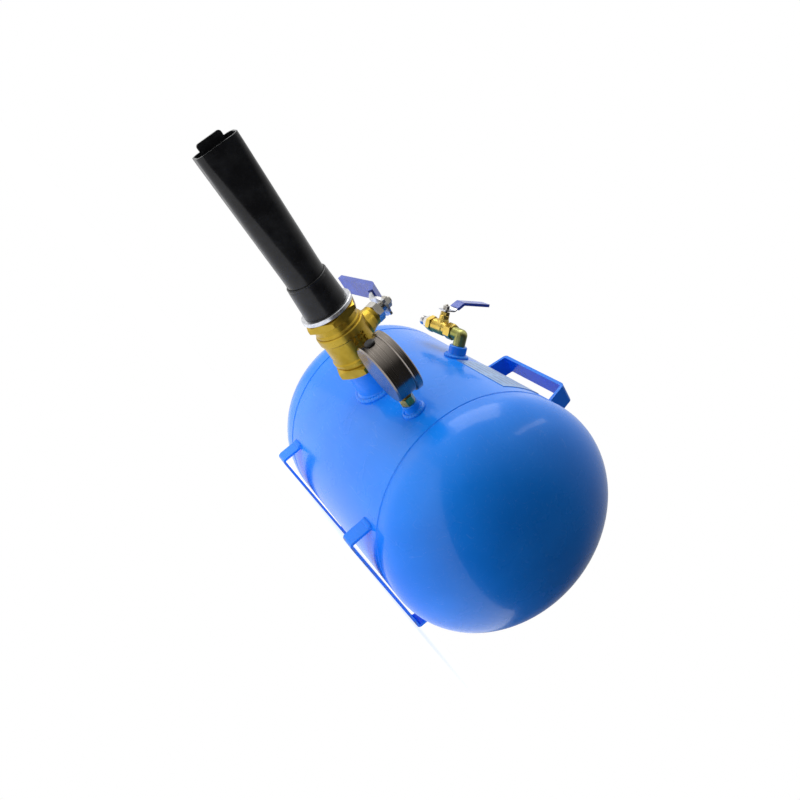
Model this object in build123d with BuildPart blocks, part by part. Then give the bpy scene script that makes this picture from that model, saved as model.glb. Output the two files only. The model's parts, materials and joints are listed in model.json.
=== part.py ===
from build123d import *
import math
import os

os.makedirs("parts", exist_ok=True)

# A portable compressed-air receiver with a quick-release barrel: a domed horizontal
# vessel on two strap feet, with a carrying handle, an outlet ball valve and barrel,
# a pressure gauge and a small filling valve.
# Frame: +Z up, Y along the vessel, -X the way the barrel points.
# Origin: on the floor below the middle of the vessel. Millimetres.

# ---------------------------------------------------------------- driving dimensions
shell_radius = 132.0
wall = 2.5
seam_span = 252.0
head_skirt = 12.0
head_depth = 84.0
groove_width = 2.4
groove_depth = 0.9

foot_half_span = 76.5
foot_width = 19.5
foot_thickness = 3.0
foot_clearance = 2.0
foot_spread = 104.0

handle_middle = -8.0
handle_length = 119.0
handle_rise = 36.0
handle_width = 25.0
handle_thickness = 4.0
handle_splay = 0.237

pipe_radius = 24.15
pipe_wall = 3.7
stub_length = 33.0
thread_reach = 14.0
hex_length = 12.0
ball_radius = 21.0
ball_bore = 15.0
valve_turn = 12.0
stem_radius = 6.0
lever_length = 106.0
lever_rise = 21.0
lever_width = 20.0
lever_thickness = 3.0
coating = 1.5

ring_width = 5.35
ring_thickness = 4.6
sleeve_length = 36.0
sleeve_wall = 1.8
tube_radius = 21.2
tube_wall = 2.0
barrel_length = 151.0
mouth_width = 46.0
mouth_depth = 27.0
mouth_corner = 8.0
lip_width = 27.0
lip_reach = 7.0
lip_thickness = 2.5

gauge_offset = -85.0
gauge_radius = 33.0
gauge_depth = 25.0
gauge_clearance = 24.4
bezel_width = 2.0
small_thread = 6.6
small_reach = 9.0

fill_angle = 45.0
fill_turn = -10.0
fill_rise = 25.2
fill_bore = 4.0
fill_ball_radius = 6.5
fill_lever_length = 62.0

running_gap = 0.08

# ---------------------------------------------------------------- derived positions
axis_height = shell_radius + foot_clearance + foot_thickness
seam = seam_span / 2
shell_inner = shell_radius - wall
vessel_axis = Axis((0, 0, axis_height), (0, 1, 0))
pipe_bore = pipe_radius - pipe_wall
gauge_rise = gauge_radius + gauge_clearance
bezel_radius = gauge_radius + bezel_width

seat_length = 5.0
seat_span = math.sqrt(ball_radius**2 - ball_bore**2) + 1.3
ball_distance = thread_reach + 3.0 + seat_span
valve_length = ball_distance + seat_span + 25.0
body_radius = max(pipe_radius + 2.85, ball_radius + 6.0)
hex_flats = 2 * body_radius + 1.0

stem_angle = math.radians(valve_turn)
fill_radial = math.radians(fill_angle)
fill_twist = math.radians(fill_turn)
fill_outward = Vector(-math.sin(fill_radial), 0, math.cos(fill_radial))
fill_tangent = Vector(math.cos(fill_radial), 0, math.sin(fill_radial))
fill_along = Vector(0, 1, 0) * math.cos(fill_twist) + fill_tangent * math.sin(fill_twist)


def fitting(origin, outward, across):
    """Frame of a fitting: z leads away from the vessel, x points across."""
    return Plane(origin=origin, x_dir=across, z_dir=outward)


def axis_of(frame):
    """Centre line of a fitting."""
    return Axis(frame.origin, frame.z_dir)


def side_of(frame):
    """Plane through a fitting's centre line, with (across, height) coordinates."""
    return Plane(origin=frame.origin, x_dir=frame.x_dir, z_dir=-frame.y_dir)


def lathe(frame, *corners):
    """Closed half outline of a turned piece, from its (radius, height) corners."""
    with BuildSketch(side_of(frame)) as face:
        with BuildLine():
            Polyline(*corners, close=True)
        make_face()
    return face.sketch


def hexagon(frame, height, flats):
    """Hexagon across the fitting's axis at a height."""
    with BuildSketch(frame.offset(height)) as face:
        RegularPolygon(flats / 2, 6, major_radius=False)
    return face.sketch


def disc(frame, height, radius):
    """Circle across the fitting's axis at a height."""
    with BuildSketch(frame.offset(height)) as face:
        Circle(radius)
    return face.sketch


def nut_bevel(frame, low, high, flats):
    """Half outline that takes the sharp corners off both ends of a hexagon."""
    corner = flats / math.sqrt(3) + 0.01
    end_radius = 0.96 * flats / 2
    bevel = (corner - end_radius) * 0.55
    return lathe(
        frame,
        (0, low),
        (end_radius, low),
        (corner, low + bevel),
        (corner, high - bevel),
        (end_radius, high),
        (0, high),
    )


def write(part, name):
    """Label a finished piece and write its STEP file."""
    part.label = name
    export_step(part, f"parts/{name}.step")


outlet = fitting((-shell_radius, 0, axis_height), (-1, 0, 0), (0, 0, 1))
valve_start = (-shell_radius - stub_length, 0, axis_height)
valve = fitting(valve_start, (-1, 0, 0), (0, math.sin(stem_angle), math.cos(stem_angle)))
stem = Plane(
    origin=valve.origin + valve.z_dir * ball_distance, x_dir=valve.y_dir, z_dir=valve.x_dir
)
barrel = outlet.offset(stub_length + valve_length)
gauge = fitting((-shell_radius, gauge_offset, axis_height), (-1, 0, 0), (0, 0, 1))
dial = Plane(
    origin=gauge.origin + gauge.z_dir * gauge_rise, x_dir=gauge.z_dir, z_dir=gauge.x_dir
)
fill = fitting(
    Vector(0, 0, axis_height) + fill_outward * shell_radius, fill_outward, fill_along
)

# ---------------------------------------------------------------- vessel
bung_radius = 8.8
bung_height = 11.0
fill_bung_radius = 10.4
fill_bung_height = 13.0
bung_depth = 5.0
fit_up = 0.1

with BuildPart() as vessel_volume:
    with BuildSketch(Plane.XZ.offset(seam_span)):
        with Locations((0, axis_height)):
            Circle(shell_radius)
    extrude(amount=-2 * seam_span)

with BuildPart() as tank_shell:
    with BuildSketch(Plane.XZ.offset(seam - groove_width / 2)):
        with Locations((0, axis_height)):
            Circle(shell_radius)
            Circle(shell_inner, mode=Mode.SUBTRACT)
    extrude(amount=-(seam_span - groove_width))
    rims = tank_shell.edges().filter_by(GeomType.CIRCLE)
    outer_rims = rims.filter_by(lambda edge: edge.radius > shell_radius - wall / 2)
    chamfer(outer_rims, length=groove_depth * 0.8)
    for frame, hole in (
        (outlet, pipe_radius + fit_up),
        (gauge, bung_radius + fit_up),
        (fill, fill_bung_radius + fit_up),
    ):
        extrude(disc(frame, -shell_radius / 2, hole), amount=shell_radius, mode=Mode.SUBTRACT)
write(tank_shell.part, "tank_shell")

for head_name, turned_round in (("rear_head", False), ("front_head", True)):
    with BuildPart() as head:
        rim = seam + groove_width / 2
        spring = seam + head_skirt
        crown = spring + head_depth
        outer = axis_height + shell_radius
        inner = axis_height + shell_inner
        centre = (spring, axis_height)
        with BuildSketch(Plane.YZ):
            with BuildLine():
                Line((rim, outer), (spring, outer))
                EllipticalCenterArc(centre, head_depth, shell_radius, start_angle=0, arc_size=90)
                Line((crown, axis_height), (crown - wall, axis_height))
                EllipticalCenterArc(centre, head_depth - wall, shell_inner, start_angle=0, arc_size=90)
                Line((spring, inner), (rim, inner))
                Line((rim, inner), (rim, outer))
            make_face()
        revolve(axis=vessel_axis)
        rims = head.edges().filter_by(GeomType.CIRCLE).group_by(Axis.Y)[0]
        chamfer(rims.sort_by(lambda edge: edge.radius)[-1], length=groove_depth * 0.8)
        if turned_round:
            mirror(about=Plane.XZ, mode=Mode.REPLACE)
    write(head.part, head_name)

for weld_name, side in (("front_girth_weld", -1), ("rear_girth_weld", 1)):
    with BuildPart() as girth_weld:
        low = side * seam - groove_width / 2
        high = side * seam + groove_width / 2
        edge_height = axis_height + shell_radius - groove_depth
        with BuildSketch(Plane.YZ):
            with BuildLine():
                Line((low, axis_height + shell_inner), (low, edge_height))
                ThreePointArc(
                    (low, edge_height),
                    (side * seam, edge_height + groove_depth / 2),
                    (high, edge_height),
                )
                Line((high, edge_height), (high, axis_height + shell_inner))
                Line((high, axis_height + shell_inner), (low, axis_height + shell_inner))
            make_face()
        revolve(axis=vessel_axis)
    write(girth_weld.part, weld_name)

# ---------------------------------------------------------------- feet
leg_middle = foot_half_span - foot_thickness / 2
leg_contact = axis_height - math.sqrt(shell_radius**2 - leg_middle**2)
weld_radius = 3.6
leg_overrun = 8.0
feet = []

for foot_name, place in (("front_foot", -foot_spread), ("rear_foot", foot_spread)):
    with BuildPart() as foot:
        with BuildSketch(Plane.XZ.offset(-(place + foot_width / 2))):
            Rectangle(2 * foot_half_span, leg_contact + leg_overrun, align=(Align.CENTER, Align.MIN))
            with Locations((0, foot_thickness)):
                Rectangle(
                    2 * (foot_half_span - foot_thickness),
                    leg_contact + leg_overrun,
                    align=(Align.CENTER, Align.MIN),
                    mode=Mode.SUBTRACT,
                )
        extrude(amount=foot_width)
        bends = foot.edges().filter_by(Axis.Y)
        fillet(bends.group_by(Axis.Z)[0], radius=1.6 * foot_thickness)
        inner_bends = foot.edges().filter_by(Axis.Y).filter_by(
            lambda edge: abs(edge.center().Z - foot_thickness) < 0.01
            and abs(abs(edge.center().X) - foot_half_span + foot_thickness) < 0.01
        )
        fillet(inner_bends, radius=0.6 * foot_thickness)
        add(vessel_volume.part, mode=Mode.SUBTRACT)
    write(foot.part, foot_name)
    feet.append(foot.part)

with BuildPart() as foot_welds:
    for place in (-foot_spread, foot_spread):
        with BuildSketch(Plane.XZ.offset(-(place + foot_width / 2))):
            with Locations((-leg_middle, leg_contact), (leg_middle, leg_contact)):
                Circle(weld_radius)
        extrude(amount=foot_width)
    add(feet, mode=Mode.SUBTRACT)
    add(vessel_volume.part, mode=Mode.SUBTRACT)
write(foot_welds.part, "foot_welds")

# ---------------------------------------------------------------- carrying handle
handle_top = axis_height + shell_radius + handle_rise
handle_sink = 6.0
handle_foot = axis_height + shell_radius - handle_sink
leg_run = handle_splay * (handle_top - handle_foot)
leg_slant = math.sqrt(1 + handle_splay**2)
inner_top = handle_length / 2 - handle_thickness * (leg_slant - handle_splay)
inner_foot = handle_length / 2 - handle_thickness * leg_slant + leg_run
outer_foot = handle_length / 2 + leg_run

with BuildPart() as carry_handle:
    with BuildSketch(Plane.YZ.offset(-handle_width / 2)):
        with BuildLine():
            Polyline(
                (handle_middle - outer_foot, handle_foot),
                (handle_middle - handle_length / 2, handle_top),
                (handle_middle + handle_length / 2, handle_top),
                (handle_middle + outer_foot, handle_foot),
                (handle_middle + inner_foot, handle_foot),
                (handle_middle + inner_top, handle_top - handle_thickness),
                (handle_middle - inner_top, handle_top - handle_thickness),
                (handle_middle - inner_foot, handle_foot),
                close=True,
            )
        make_face()
    extrude(amount=handle_width)
    across = carry_handle.edges().filter_by(Axis.X).group_by(Axis.Z)
    fillet(across[-1], radius=1.5 * handle_thickness)
    across = carry_handle.edges().filter_by(Axis.X)
    inside = across.filter_by(lambda edge: abs(edge.center().Z - handle_top + handle_thickness) < 0.01)
    fillet(inside, radius=0.5 * handle_thickness)
    add(vessel_volume.part, mode=Mode.SUBTRACT)
write(carry_handle.part, "carry_handle")

handle_leg = handle_length / 2 + handle_splay * handle_rise - handle_thickness / 2
with BuildPart() as handle_welds:
    with BuildSketch(Plane.YZ.offset(-handle_width / 2)):
        with Locations(
            (handle_middle - handle_leg, axis_height + shell_radius),
            (handle_middle + handle_leg, axis_height + shell_radius),
        ):
            Circle(weld_radius)
    extrude(amount=handle_width)
    add(carry_handle.part, mode=Mode.SUBTRACT)
    add(vessel_volume.part, mode=Mode.SUBTRACT)
write(handle_welds.part, "handle_welds")

# ---------------------------------------------------------------- rating plate
plate_thickness = 0.6
plate_from = 28.0
plate_sweep = 21.0
plate_start = -110.0
plate_length = 94.0

with BuildPart() as rating_plate:
    plate_side = Plane.YZ.rotated((0, -plate_from, 0))
    plate_plane = Plane(
        origin=(0, 0, axis_height), x_dir=plate_side.x_dir, z_dir=plate_side.z_dir
    )
    with BuildSketch(plate_plane):
        with Locations((plate_start + plate_length / 2, shell_radius + plate_thickness / 2)):
            Rectangle(plate_length, plate_thickness)
    revolve(axis=vessel_axis, revolution_arc=-plate_sweep)
write(rating_plate.part, "rating_plate")

# ---------------------------------------------------------------- outlet stub
stub_inside = 8.0
fillet_size = 5.0

with BuildPart() as outlet_stub:
    extrude(disc(outlet, -stub_inside, pipe_radius), amount=stub_inside + stub_length + thread_reach)
    extrude(
        disc(outlet, -stub_inside, pipe_bore),
        amount=stub_inside + stub_length + thread_reach,
        mode=Mode.SUBTRACT,
    )
    chamfer(outlet_stub.edges().group_by(Axis.X)[0], length=1.0)
write(outlet_stub.part, "outlet_stub")


def saddle_weld(frame, radius, size):
    """Fillet bead round a pipe of a radius, before the vessel is cut from it."""
    drop = shell_radius - math.sqrt(shell_radius**2 - (radius + size) ** 2)
    return lathe(
        frame,
        (radius, -drop - 0.2),
        (radius + size, -drop - 0.2),
        (radius + size * 0.95, -drop + size * 0.12),
        (radius + size * 0.3, size * 0.42),
        (radius, size * 0.9),
    )


for weld_name, frame, radius, size in (
    ("outlet_weld", outlet, pipe_radius, fillet_size),
    ("gauge_weld", gauge, bung_radius, 4.0),
    ("fill_weld", fill, fill_bung_radius, 4.0),
):
    with BuildPart() as fitting_weld:
        revolve(saddle_weld(frame, radius, size), axis=axis_of(frame))
        add(vessel_volume.part, mode=Mode.SUBTRACT)
    write(fitting_weld.part, weld_name)

# ---------------------------------------------------------------- pieces that both valves have
def half_disc(frame, radius):
    """Half outline of a ball about a fitting's axis."""
    with BuildSketch(side_of(frame)) as face:
        with BuildLine():
            CenterArc((0, 0), radius, -90, 180)
            Line((0, radius), (0, -radius))
        make_face()
    return face.sketch


def bored_ball(frame, radius, bore, slot):
    """Ball whose bore lies along the lever, with a slot on top for the stem's tongue."""
    with BuildPart() as ball:
        revolve(half_disc(frame, radius), axis=axis_of(frame))
        bore_frame = Plane(origin=frame.origin, x_dir=frame.y_dir, z_dir=frame.x_dir)
        extrude(disc(bore_frame, -radius, bore), amount=2 * radius, mode=Mode.SUBTRACT)
        with BuildSketch(frame.offset(bore + slot / 2)) as groove:
            Rectangle(2 * radius, slot)
        extrude(groove.sketch, amount=radius, mode=Mode.SUBTRACT)
    return ball.part


def ball_seat(run, turn, radius, bore, outer, back, front):
    """Ring round the flow way, hollowed to the ball that turns against it."""
    with BuildPart() as ring:
        corners = ((bore, back), (outer, back), (outer, front), (bore, front))
        revolve(lathe(run, *corners), axis=axis_of(run))
        revolve(half_disc(turn, radius + running_gap), axis=axis_of(turn), mode=Mode.SUBTRACT)
    return ring.part


def pierced_nut(frame, low, height, flats, bore, spigot=0, spigot_depth=0):
    """Bevelled hexagon nut with a round bore and, if asked, a round spigot below."""
    with BuildPart() as nut:
        extrude(hexagon(frame, low, flats), amount=height)
        revolve(nut_bevel(frame, low, low + height, flats), axis=axis_of(frame), mode=Mode.INTERSECT)
        if spigot:
            extrude(disc(frame, low - spigot_depth, spigot), amount=spigot_depth)
        extrude(
            disc(frame, low - spigot_depth - 1, bore), amount=height + spigot_depth + 2, mode=Mode.SUBTRACT
        )
    return nut.part


def strip_along(frame, path, bend, width, thickness):
    """Flat strip bent along a path in the fitting's side plane."""
    with BuildPart() as strip:
        with BuildLine(side_of(frame)) as line:
            FilletPolyline(*path, radius=bend)
        start = Plane(origin=line.line @ 0, x_dir=frame.y_dir, z_dir=line.line % 0)
        with BuildSketch(start) as section:
            Rectangle(width, thickness)
        sweep(section.sketch, path=line.line)
    return strip.part


def cranked_lever(frame, path, bend, width, thickness, hub, square):
    """Lever strip with a round hub at its start and a square hole for the stem."""
    with BuildPart() as lever:
        add(strip_along(frame, path, bend, width, thickness))
        extrude(disc(frame, path[0][1] - thickness / 2, hub), amount=thickness)
        with BuildSketch(frame.offset(path[0][1] - thickness)) as hole:
            Rectangle(square, square)
        extrude(hole.sketch, amount=2 * thickness, mode=Mode.SUBTRACT)
    return lever.part


def dipped_grip(frame, path, bend, width, thickness, coat, lever):
    """Soft coating over the outer part of a lever, rounded at the end."""
    with BuildPart() as grip:
        add(strip_along(frame, path, bend, width + 2 * coat, thickness + 2 * coat))
        far_end = grip.faces().sort_by(Axis(frame.origin, frame.x_dir))[-1]
        fillet(far_end.edges(), radius=0.8 * coat)
        add(lever, mode=Mode.SUBTRACT)
    return grip.part


# ---------------------------------------------------------------- main ball valve
cavity_radius = ball_radius + 1.0
seat_outer = ball_radius - 1.0
seat_back = ball_distance - seat_span
cap_seat_back = ball_distance + seat_span
body_end = ball_distance + 20.0
shoulder_radius = stem_radius + 2.0
shoulder_top = ball_radius + 3.5
packing_radius = stem_radius + 3.0
packing_low = body_radius + 6.0
packing_high = packing_low + 5.5
boss_radius = packing_radius + 3.0
boss_height = packing_high + 1.5
gland_flats = 2 * packing_radius + 3.0
gland_height = 9.0
hub_height = boss_height + gland_height + 4.0
square_flats = 1.4 * stem_radius
stud_radius = stem_radius - 2.0
shank_radius = ball_radius + 2.5
neck_radius = body_radius - 1.0
cap_hex_start = valve_length - 10.0
adaptor_start = valve_length - 9.0
way_radius = ball_bore + 3
stem_bore = stem_radius + running_gap
slot_width = 5.0
washer_thickness = 1.2

write(bored_ball(stem, ball_radius, ball_bore, slot_width), "valve_ball")

for seat_name, back in (("inner_seat", seat_back), ("outer_seat", cap_seat_back - seat_length)):
    seat = ball_seat(valve, stem, ball_radius, ball_bore, seat_outer, back, back + seat_length)
    write(seat, seat_name)

with BuildPart() as valve_body:
    extrude(hexagon(valve, 0, hex_flats), amount=hex_length)
    revolve(nut_bevel(valve, 0, hex_length, hex_flats), axis=axis_of(valve), mode=Mode.INTERSECT)
    revolve(
        lathe(
            valve,
            (0, hex_length - 1),
            (body_radius - 1.2, hex_length - 1),
            (body_radius - 1.2, hex_length + 2.5),
            (body_radius + 0.6, hex_length + 3.5),
            (body_radius + 0.6, hex_length + 6.5),
            (body_radius - 0.8, hex_length + 8),
            (body_radius - 0.8, body_end - 10),
            (body_radius + 0.8, body_end - 8.5),
            (body_radius + 0.8, body_end - 1),
            (body_radius - 0.2, body_end),
            (0, body_end),
        ),
        axis=axis_of(valve),
    )
    revolve(
        lathe(
            stem,
            (0, 0),
            (boss_radius + 4, 0),
            (boss_radius + 4, body_radius - 3),
            (boss_radius + 1.5, body_radius + 3),
            (boss_radius, boss_height - 5),
            (boss_radius, boss_height - 1),
            (boss_radius - 1, boss_height),
            (0, boss_height),
        ),
        axis=axis_of(stem),
    )
    revolve(
        lathe(
            valve,
            (0, -1),
            (pipe_radius, -1),
            (pipe_radius, thread_reach),
            (ball_bore, thread_reach + 1.5),
            (ball_bore, seat_back),
            (seat_outer, seat_back),
            (seat_outer, seat_back + seat_length),
            (cavity_radius, seat_back + seat_length),
            (cavity_radius, cap_seat_back - seat_length),
            (shank_radius, cap_seat_back - seat_length),
            (shank_radius, body_end + 1),
            (0, body_end + 1),
        ),
        axis=axis_of(valve),
        mode=Mode.SUBTRACT,
    )
    revolve(
        lathe(
            stem,
            (0, ball_bore),
            (shoulder_radius + 0.3, ball_bore),
            (shoulder_radius + 0.3, shoulder_top + 0.1),
            (stem_bore, shoulder_top + 0.1),
            (stem_bore, packing_low),
            (packing_radius, packing_low),
            (packing_radius, boss_height + 1),
            (0, boss_height + 1),
        ),
        axis=axis_of(stem),
        mode=Mode.SUBTRACT,
    )
write(valve_body.part, "valve_body")

with BuildPart() as valve_cap:
    extrude(hexagon(valve, cap_hex_start, hex_flats), amount=valve_length - cap_hex_start)
    revolve(
        nut_bevel(valve, cap_hex_start, valve_length, hex_flats),
        axis=axis_of(valve),
        mode=Mode.INTERSECT,
    )
    revolve(
        lathe(
            valve,
            (0, cap_seat_back - seat_length),
            (shank_radius, cap_seat_back - seat_length),
            (shank_radius, body_end),
            (neck_radius, body_end),
            (neck_radius, body_end + 2.5),
            (neck_radius - 1.2, body_end + 4),
            (neck_radius - 1.2, cap_hex_start + 1),
            (0, cap_hex_start + 1),
        ),
        axis=axis_of(valve),
    )
    revolve(
        lathe(
            valve,
            (0, cap_seat_back - seat_length - 1),
            (seat_outer, cap_seat_back - seat_length - 1),
            (seat_outer, cap_seat_back),
            (ball_bore, cap_seat_back),
            (ball_bore, cap_seat_back + 3),
            (way_radius, cap_seat_back + 6),
            (way_radius, adaptor_start - 0.5),
            (pipe_radius, adaptor_start - 0.5),
            (pipe_radius, valve_length + 1),
            (0, valve_length + 1),
        ),
        axis=axis_of(valve),
        mode=Mode.SUBTRACT,
    )
write(valve_cap.part, "valve_cap")

with BuildPart() as valve_stem:
    with BuildSketch(stem.offset(ball_bore + slot_width / 2)):
        Rectangle(2.4 * slot_width, slot_width)
    extrude(amount=ball_radius - ball_bore - 1)
    revolve(
        lathe(
            stem,
            (0, ball_radius + 0.4),
            (shoulder_radius, ball_radius + 0.4),
            (shoulder_radius, shoulder_top),
            (stem_radius, shoulder_top),
            (stem_radius, hub_height),
            (0, hub_height),
        ),
        axis=axis_of(stem),
    )
    with BuildSketch(stem.offset(hub_height)):
        Rectangle(square_flats, square_flats)
    extrude(amount=lever_thickness)
    revolve(
        lathe(
            stem,
            (0, hub_height + lever_thickness),
            (stud_radius, hub_height + lever_thickness),
            (stud_radius, hub_height + 13.5),
            (stud_radius - 1, hub_height + 14.5),
            (0, hub_height + 14.5),
        ),
        axis=axis_of(stem),
    )
write(valve_stem.part, "valve_stem")

with BuildPart() as stem_packing:
    revolve(
        lathe(
            stem,
            (stem_bore, packing_low),
            (packing_radius, packing_low),
            (packing_radius, packing_high),
            (stem_bore, packing_high),
        ),
        axis=axis_of(stem),
    )
write(stem_packing.part, "stem_packing")

gland_nut = pierced_nut(
    stem,
    boss_height,
    gland_height,
    gland_flats,
    stem_bore,
    spigot=packing_radius,
    spigot_depth=boss_height - packing_high,
)
write(gland_nut, "gland_nut")

lever_middle = hub_height + lever_thickness / 2
lever_top = lever_middle + lever_rise
ramp_start = 15.0
ramp_end = 34.0
grip_start = 24.0
blade_slope = 0.06
ramp_slope = lever_rise / (ramp_end - ramp_start)
lever_path = (
    (-11.0, lever_middle),
    (ramp_start, lever_middle),
    (ramp_end, lever_top),
    (lever_length, lever_top + blade_slope * (lever_length - ramp_end)),
)
grip_path = (
    (grip_start, lever_middle + (grip_start - ramp_start) * ramp_slope),
    (ramp_end, lever_top),
    (lever_length + coating, lever_top + blade_slope * (lever_length + coating - ramp_end)),
)
valve_lever = cranked_lever(
    stem, lever_path, 9, lever_width, lever_thickness, lever_width / 2 + 2.5, square_flats
)
write(valve_lever, "valve_lever")
write(
    dipped_grip(stem, grip_path, 9, lever_width, lever_thickness, coating, valve_lever), "lever_grip"
)

with BuildPart() as lever_washer:
    extrude(disc(stem, hub_height + lever_thickness, 2 * stud_radius), amount=washer_thickness)
    extrude(disc(stem, hub_height, stud_radius), amount=3 * lever_thickness, mode=Mode.SUBTRACT)
write(lever_washer.part, "lever_washer")

nut_low = hub_height + lever_thickness + washer_thickness
write(pierced_nut(stem, nut_low, 7.0, 13.0, stud_radius), "lever_nut")

# ---------------------------------------------------------------- barrel
ring_low = 0.3
ring_radius = pipe_radius + ring_width
sleeve_radius = pipe_radius + 0.85
sleeve_tip_radius = tube_radius + sleeve_wall
sleeve_low = ring_low + ring_thickness + 0.3
socket_depth = 24.0
socket_low = sleeve_low + sleeve_length - socket_depth

with BuildPart() as lock_ring:
    revolve(
        lathe(
            barrel,
            (pipe_radius, ring_low),
            (ring_radius - 0.6, ring_low),
            (ring_radius, ring_low + 0.6),
            (ring_radius, ring_low + ring_thickness - 0.6),
            (ring_radius - 0.6, ring_low + ring_thickness),
            (pipe_radius, ring_low + ring_thickness),
        ),
        axis=axis_of(barrel),
    )
write(lock_ring.part, "lock_ring")

with BuildPart() as barrel_sleeve:
    revolve(
        lathe(
            barrel,
            (way_radius, adaptor_start - valve_length),
            (pipe_radius, adaptor_start - valve_length),
            (pipe_radius, sleeve_low),
            (sleeve_radius, sleeve_low),
            (sleeve_tip_radius + 0.3, sleeve_low + sleeve_length - 3),
            (sleeve_tip_radius - 0.4, sleeve_low + sleeve_length),
            (tube_radius, sleeve_low + sleeve_length),
            (tube_radius, socket_low),
            (way_radius, socket_low),
        ),
        axis=axis_of(barrel),
    )
write(barrel_sleeve.part, "barrel_sleeve")

tube_start = socket_low
taper_start = sleeve_low + sleeve_length + 10.0
tip = sleeve_low + sleeve_length + barrel_length
flat_length = 8.0


def mouth_section(height, width, depth, corner):
    """Rounded section of the barrel at a height, wide in z and shallow in y."""
    with BuildSketch(barrel.offset(height)) as face:
        RectangleRounded(width, depth, corner)
    return face.sketch


def mouth_end(inset):
    """Section of the barrel where its straight mouth starts."""
    return mouth_section(
        tip - flat_length, mouth_width - 2 * inset, mouth_depth - 2 * inset, mouth_corner - inset
    )


def flattened_tube(inset):
    """Sections of the barrel, from round at the sleeve to flattened at the mouth."""
    across = 2 * (tube_radius - inset)
    return [
        mouth_section(taper_start, across, across, across / 2 - 0.01),
        mouth_end(inset),
    ]


with BuildPart() as barrel_tube:
    extrude(disc(barrel, tube_start, tube_radius), amount=taper_start - tube_start)
    loft(flattened_tube(0))
    extrude(mouth_end(0), amount=flat_length)
    extrude(
        disc(barrel, tube_start, tube_radius - tube_wall),
        amount=taper_start - tube_start,
        mode=Mode.SUBTRACT,
    )
    loft(flattened_tube(tube_wall), mode=Mode.SUBTRACT)
    extrude(mouth_end(tube_wall), amount=flat_length, mode=Mode.SUBTRACT)
write(barrel_tube.part, "barrel_tube")

lip_plane = Plane(
    origin=barrel.origin + barrel.y_dir * (mouth_depth / 2 - tube_wall),
    x_dir=barrel.x_dir,
    z_dir=-barrel.y_dir,
)
with BuildPart() as barrel_lip:
    with BuildSketch(lip_plane):
        with Locations((0, tip + lip_reach / 2 - flat_length / 2)):
            RectangleRounded(lip_width, lip_reach + flat_length, 3.0)
    extrude(amount=lip_thickness)
write(barrel_lip.part, "barrel_lip")

# ---------------------------------------------------------------- gauge
socket_hex = 14.0
socket_hex_length = 9.0
case_wall = 1.2
case_back = -11.0
case_front = case_back + gauge_depth
window = gauge_radius - 3.0
dial_height = 6.5

with BuildPart() as gauge_bung:
    extrude(disc(gauge, -bung_depth, bung_radius), amount=bung_depth + bung_height)
    chamfer(gauge_bung.edges().sort_by(Axis.X)[0], length=0.8)
    extrude(disc(gauge, -bung_depth, small_thread), amount=40, mode=Mode.SUBTRACT)
write(gauge_bung.part, "gauge_bung")

neck_top = gauge_rise - gauge_radius + case_wall + 0.6
gauge_neck = 5.0
pressure_way = 1.5
block_height = 9.0
block_width = 10.0
with BuildPart() as gauge_socket:
    extrude(hexagon(gauge, bung_height + 0.3, socket_hex), amount=socket_hex_length)
    revolve(
        nut_bevel(gauge, bung_height + 0.3, bung_height + 0.3 + socket_hex_length, socket_hex),
        axis=axis_of(gauge),
        mode=Mode.INTERSECT,
    )
    extrude(disc(gauge, bung_height - small_reach, small_thread), amount=small_reach + 0.3)
    extrude(
        disc(gauge, bung_height + socket_hex_length, gauge_neck),
        amount=neck_top - bung_height - socket_hex_length,
    )
    with BuildSketch(gauge.offset(neck_top)):
        Rectangle(block_height, block_width)
    extrude(amount=block_height)
    extrude(disc(gauge, 0, pressure_way), amount=neck_top + block_height / 2, mode=Mode.SUBTRACT)
write(gauge_socket.part, "gauge_socket")

plug_radius = 4.0
with BuildPart() as gauge_case:
    revolve(
        lathe(
            dial,
            (0, case_back),
            (gauge_radius - 1.5, case_back),
            (gauge_radius, case_back + 1.5),
            (gauge_radius, case_front),
            (gauge_radius - case_wall, case_front),
            (gauge_radius - case_wall, case_back + case_wall),
            (0, case_back + case_wall),
        ),
        axis=axis_of(dial),
    )
    extrude(disc(gauge, neck_top - 6, gauge_neck), amount=10, mode=Mode.SUBTRACT)
    extrude(disc(gauge, gauge_rise + gauge_radius - 6, plug_radius), amount=10, mode=Mode.SUBTRACT)
write(gauge_case.part, "gauge_case")

with BuildPart() as gauge_plug:
    top = gauge_rise + gauge_radius
    revolve(
        lathe(
            gauge,
            (0, top - 3),
            (plug_radius, top - 3),
            (plug_radius, top - 0.1),
            (plug_radius + 1.2, top + 0.2),
            (plug_radius + 1.2, top + 2.0),
            (plug_radius, top + 2.8),
            (0, top + 2.8),
        ),
        axis=axis_of(gauge),
    )
    add(gauge_case.part, mode=Mode.SUBTRACT)
write(gauge_plug.part, "gauge_plug")

with BuildPart() as gauge_lens:
    extrude(disc(dial, case_front, gauge_radius), amount=2.0)
write(gauge_lens.part, "gauge_lens")

with BuildPart() as gauge_bezel:
    revolve(
        lathe(
            dial,
            (gauge_radius, case_front - 4),
            (bezel_radius - 0.8, case_front - 4),
            (bezel_radius, case_front - 3),
            (bezel_radius, case_front + 2.4),
            (bezel_radius - 1.4, case_front + 3.6),
            (window, case_front + 3.2),
            (window, case_front + 2.0),
            (gauge_radius, case_front + 2.0),
        ),
        axis=axis_of(dial),
    )
write(gauge_bezel.part, "gauge_bezel")

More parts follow.
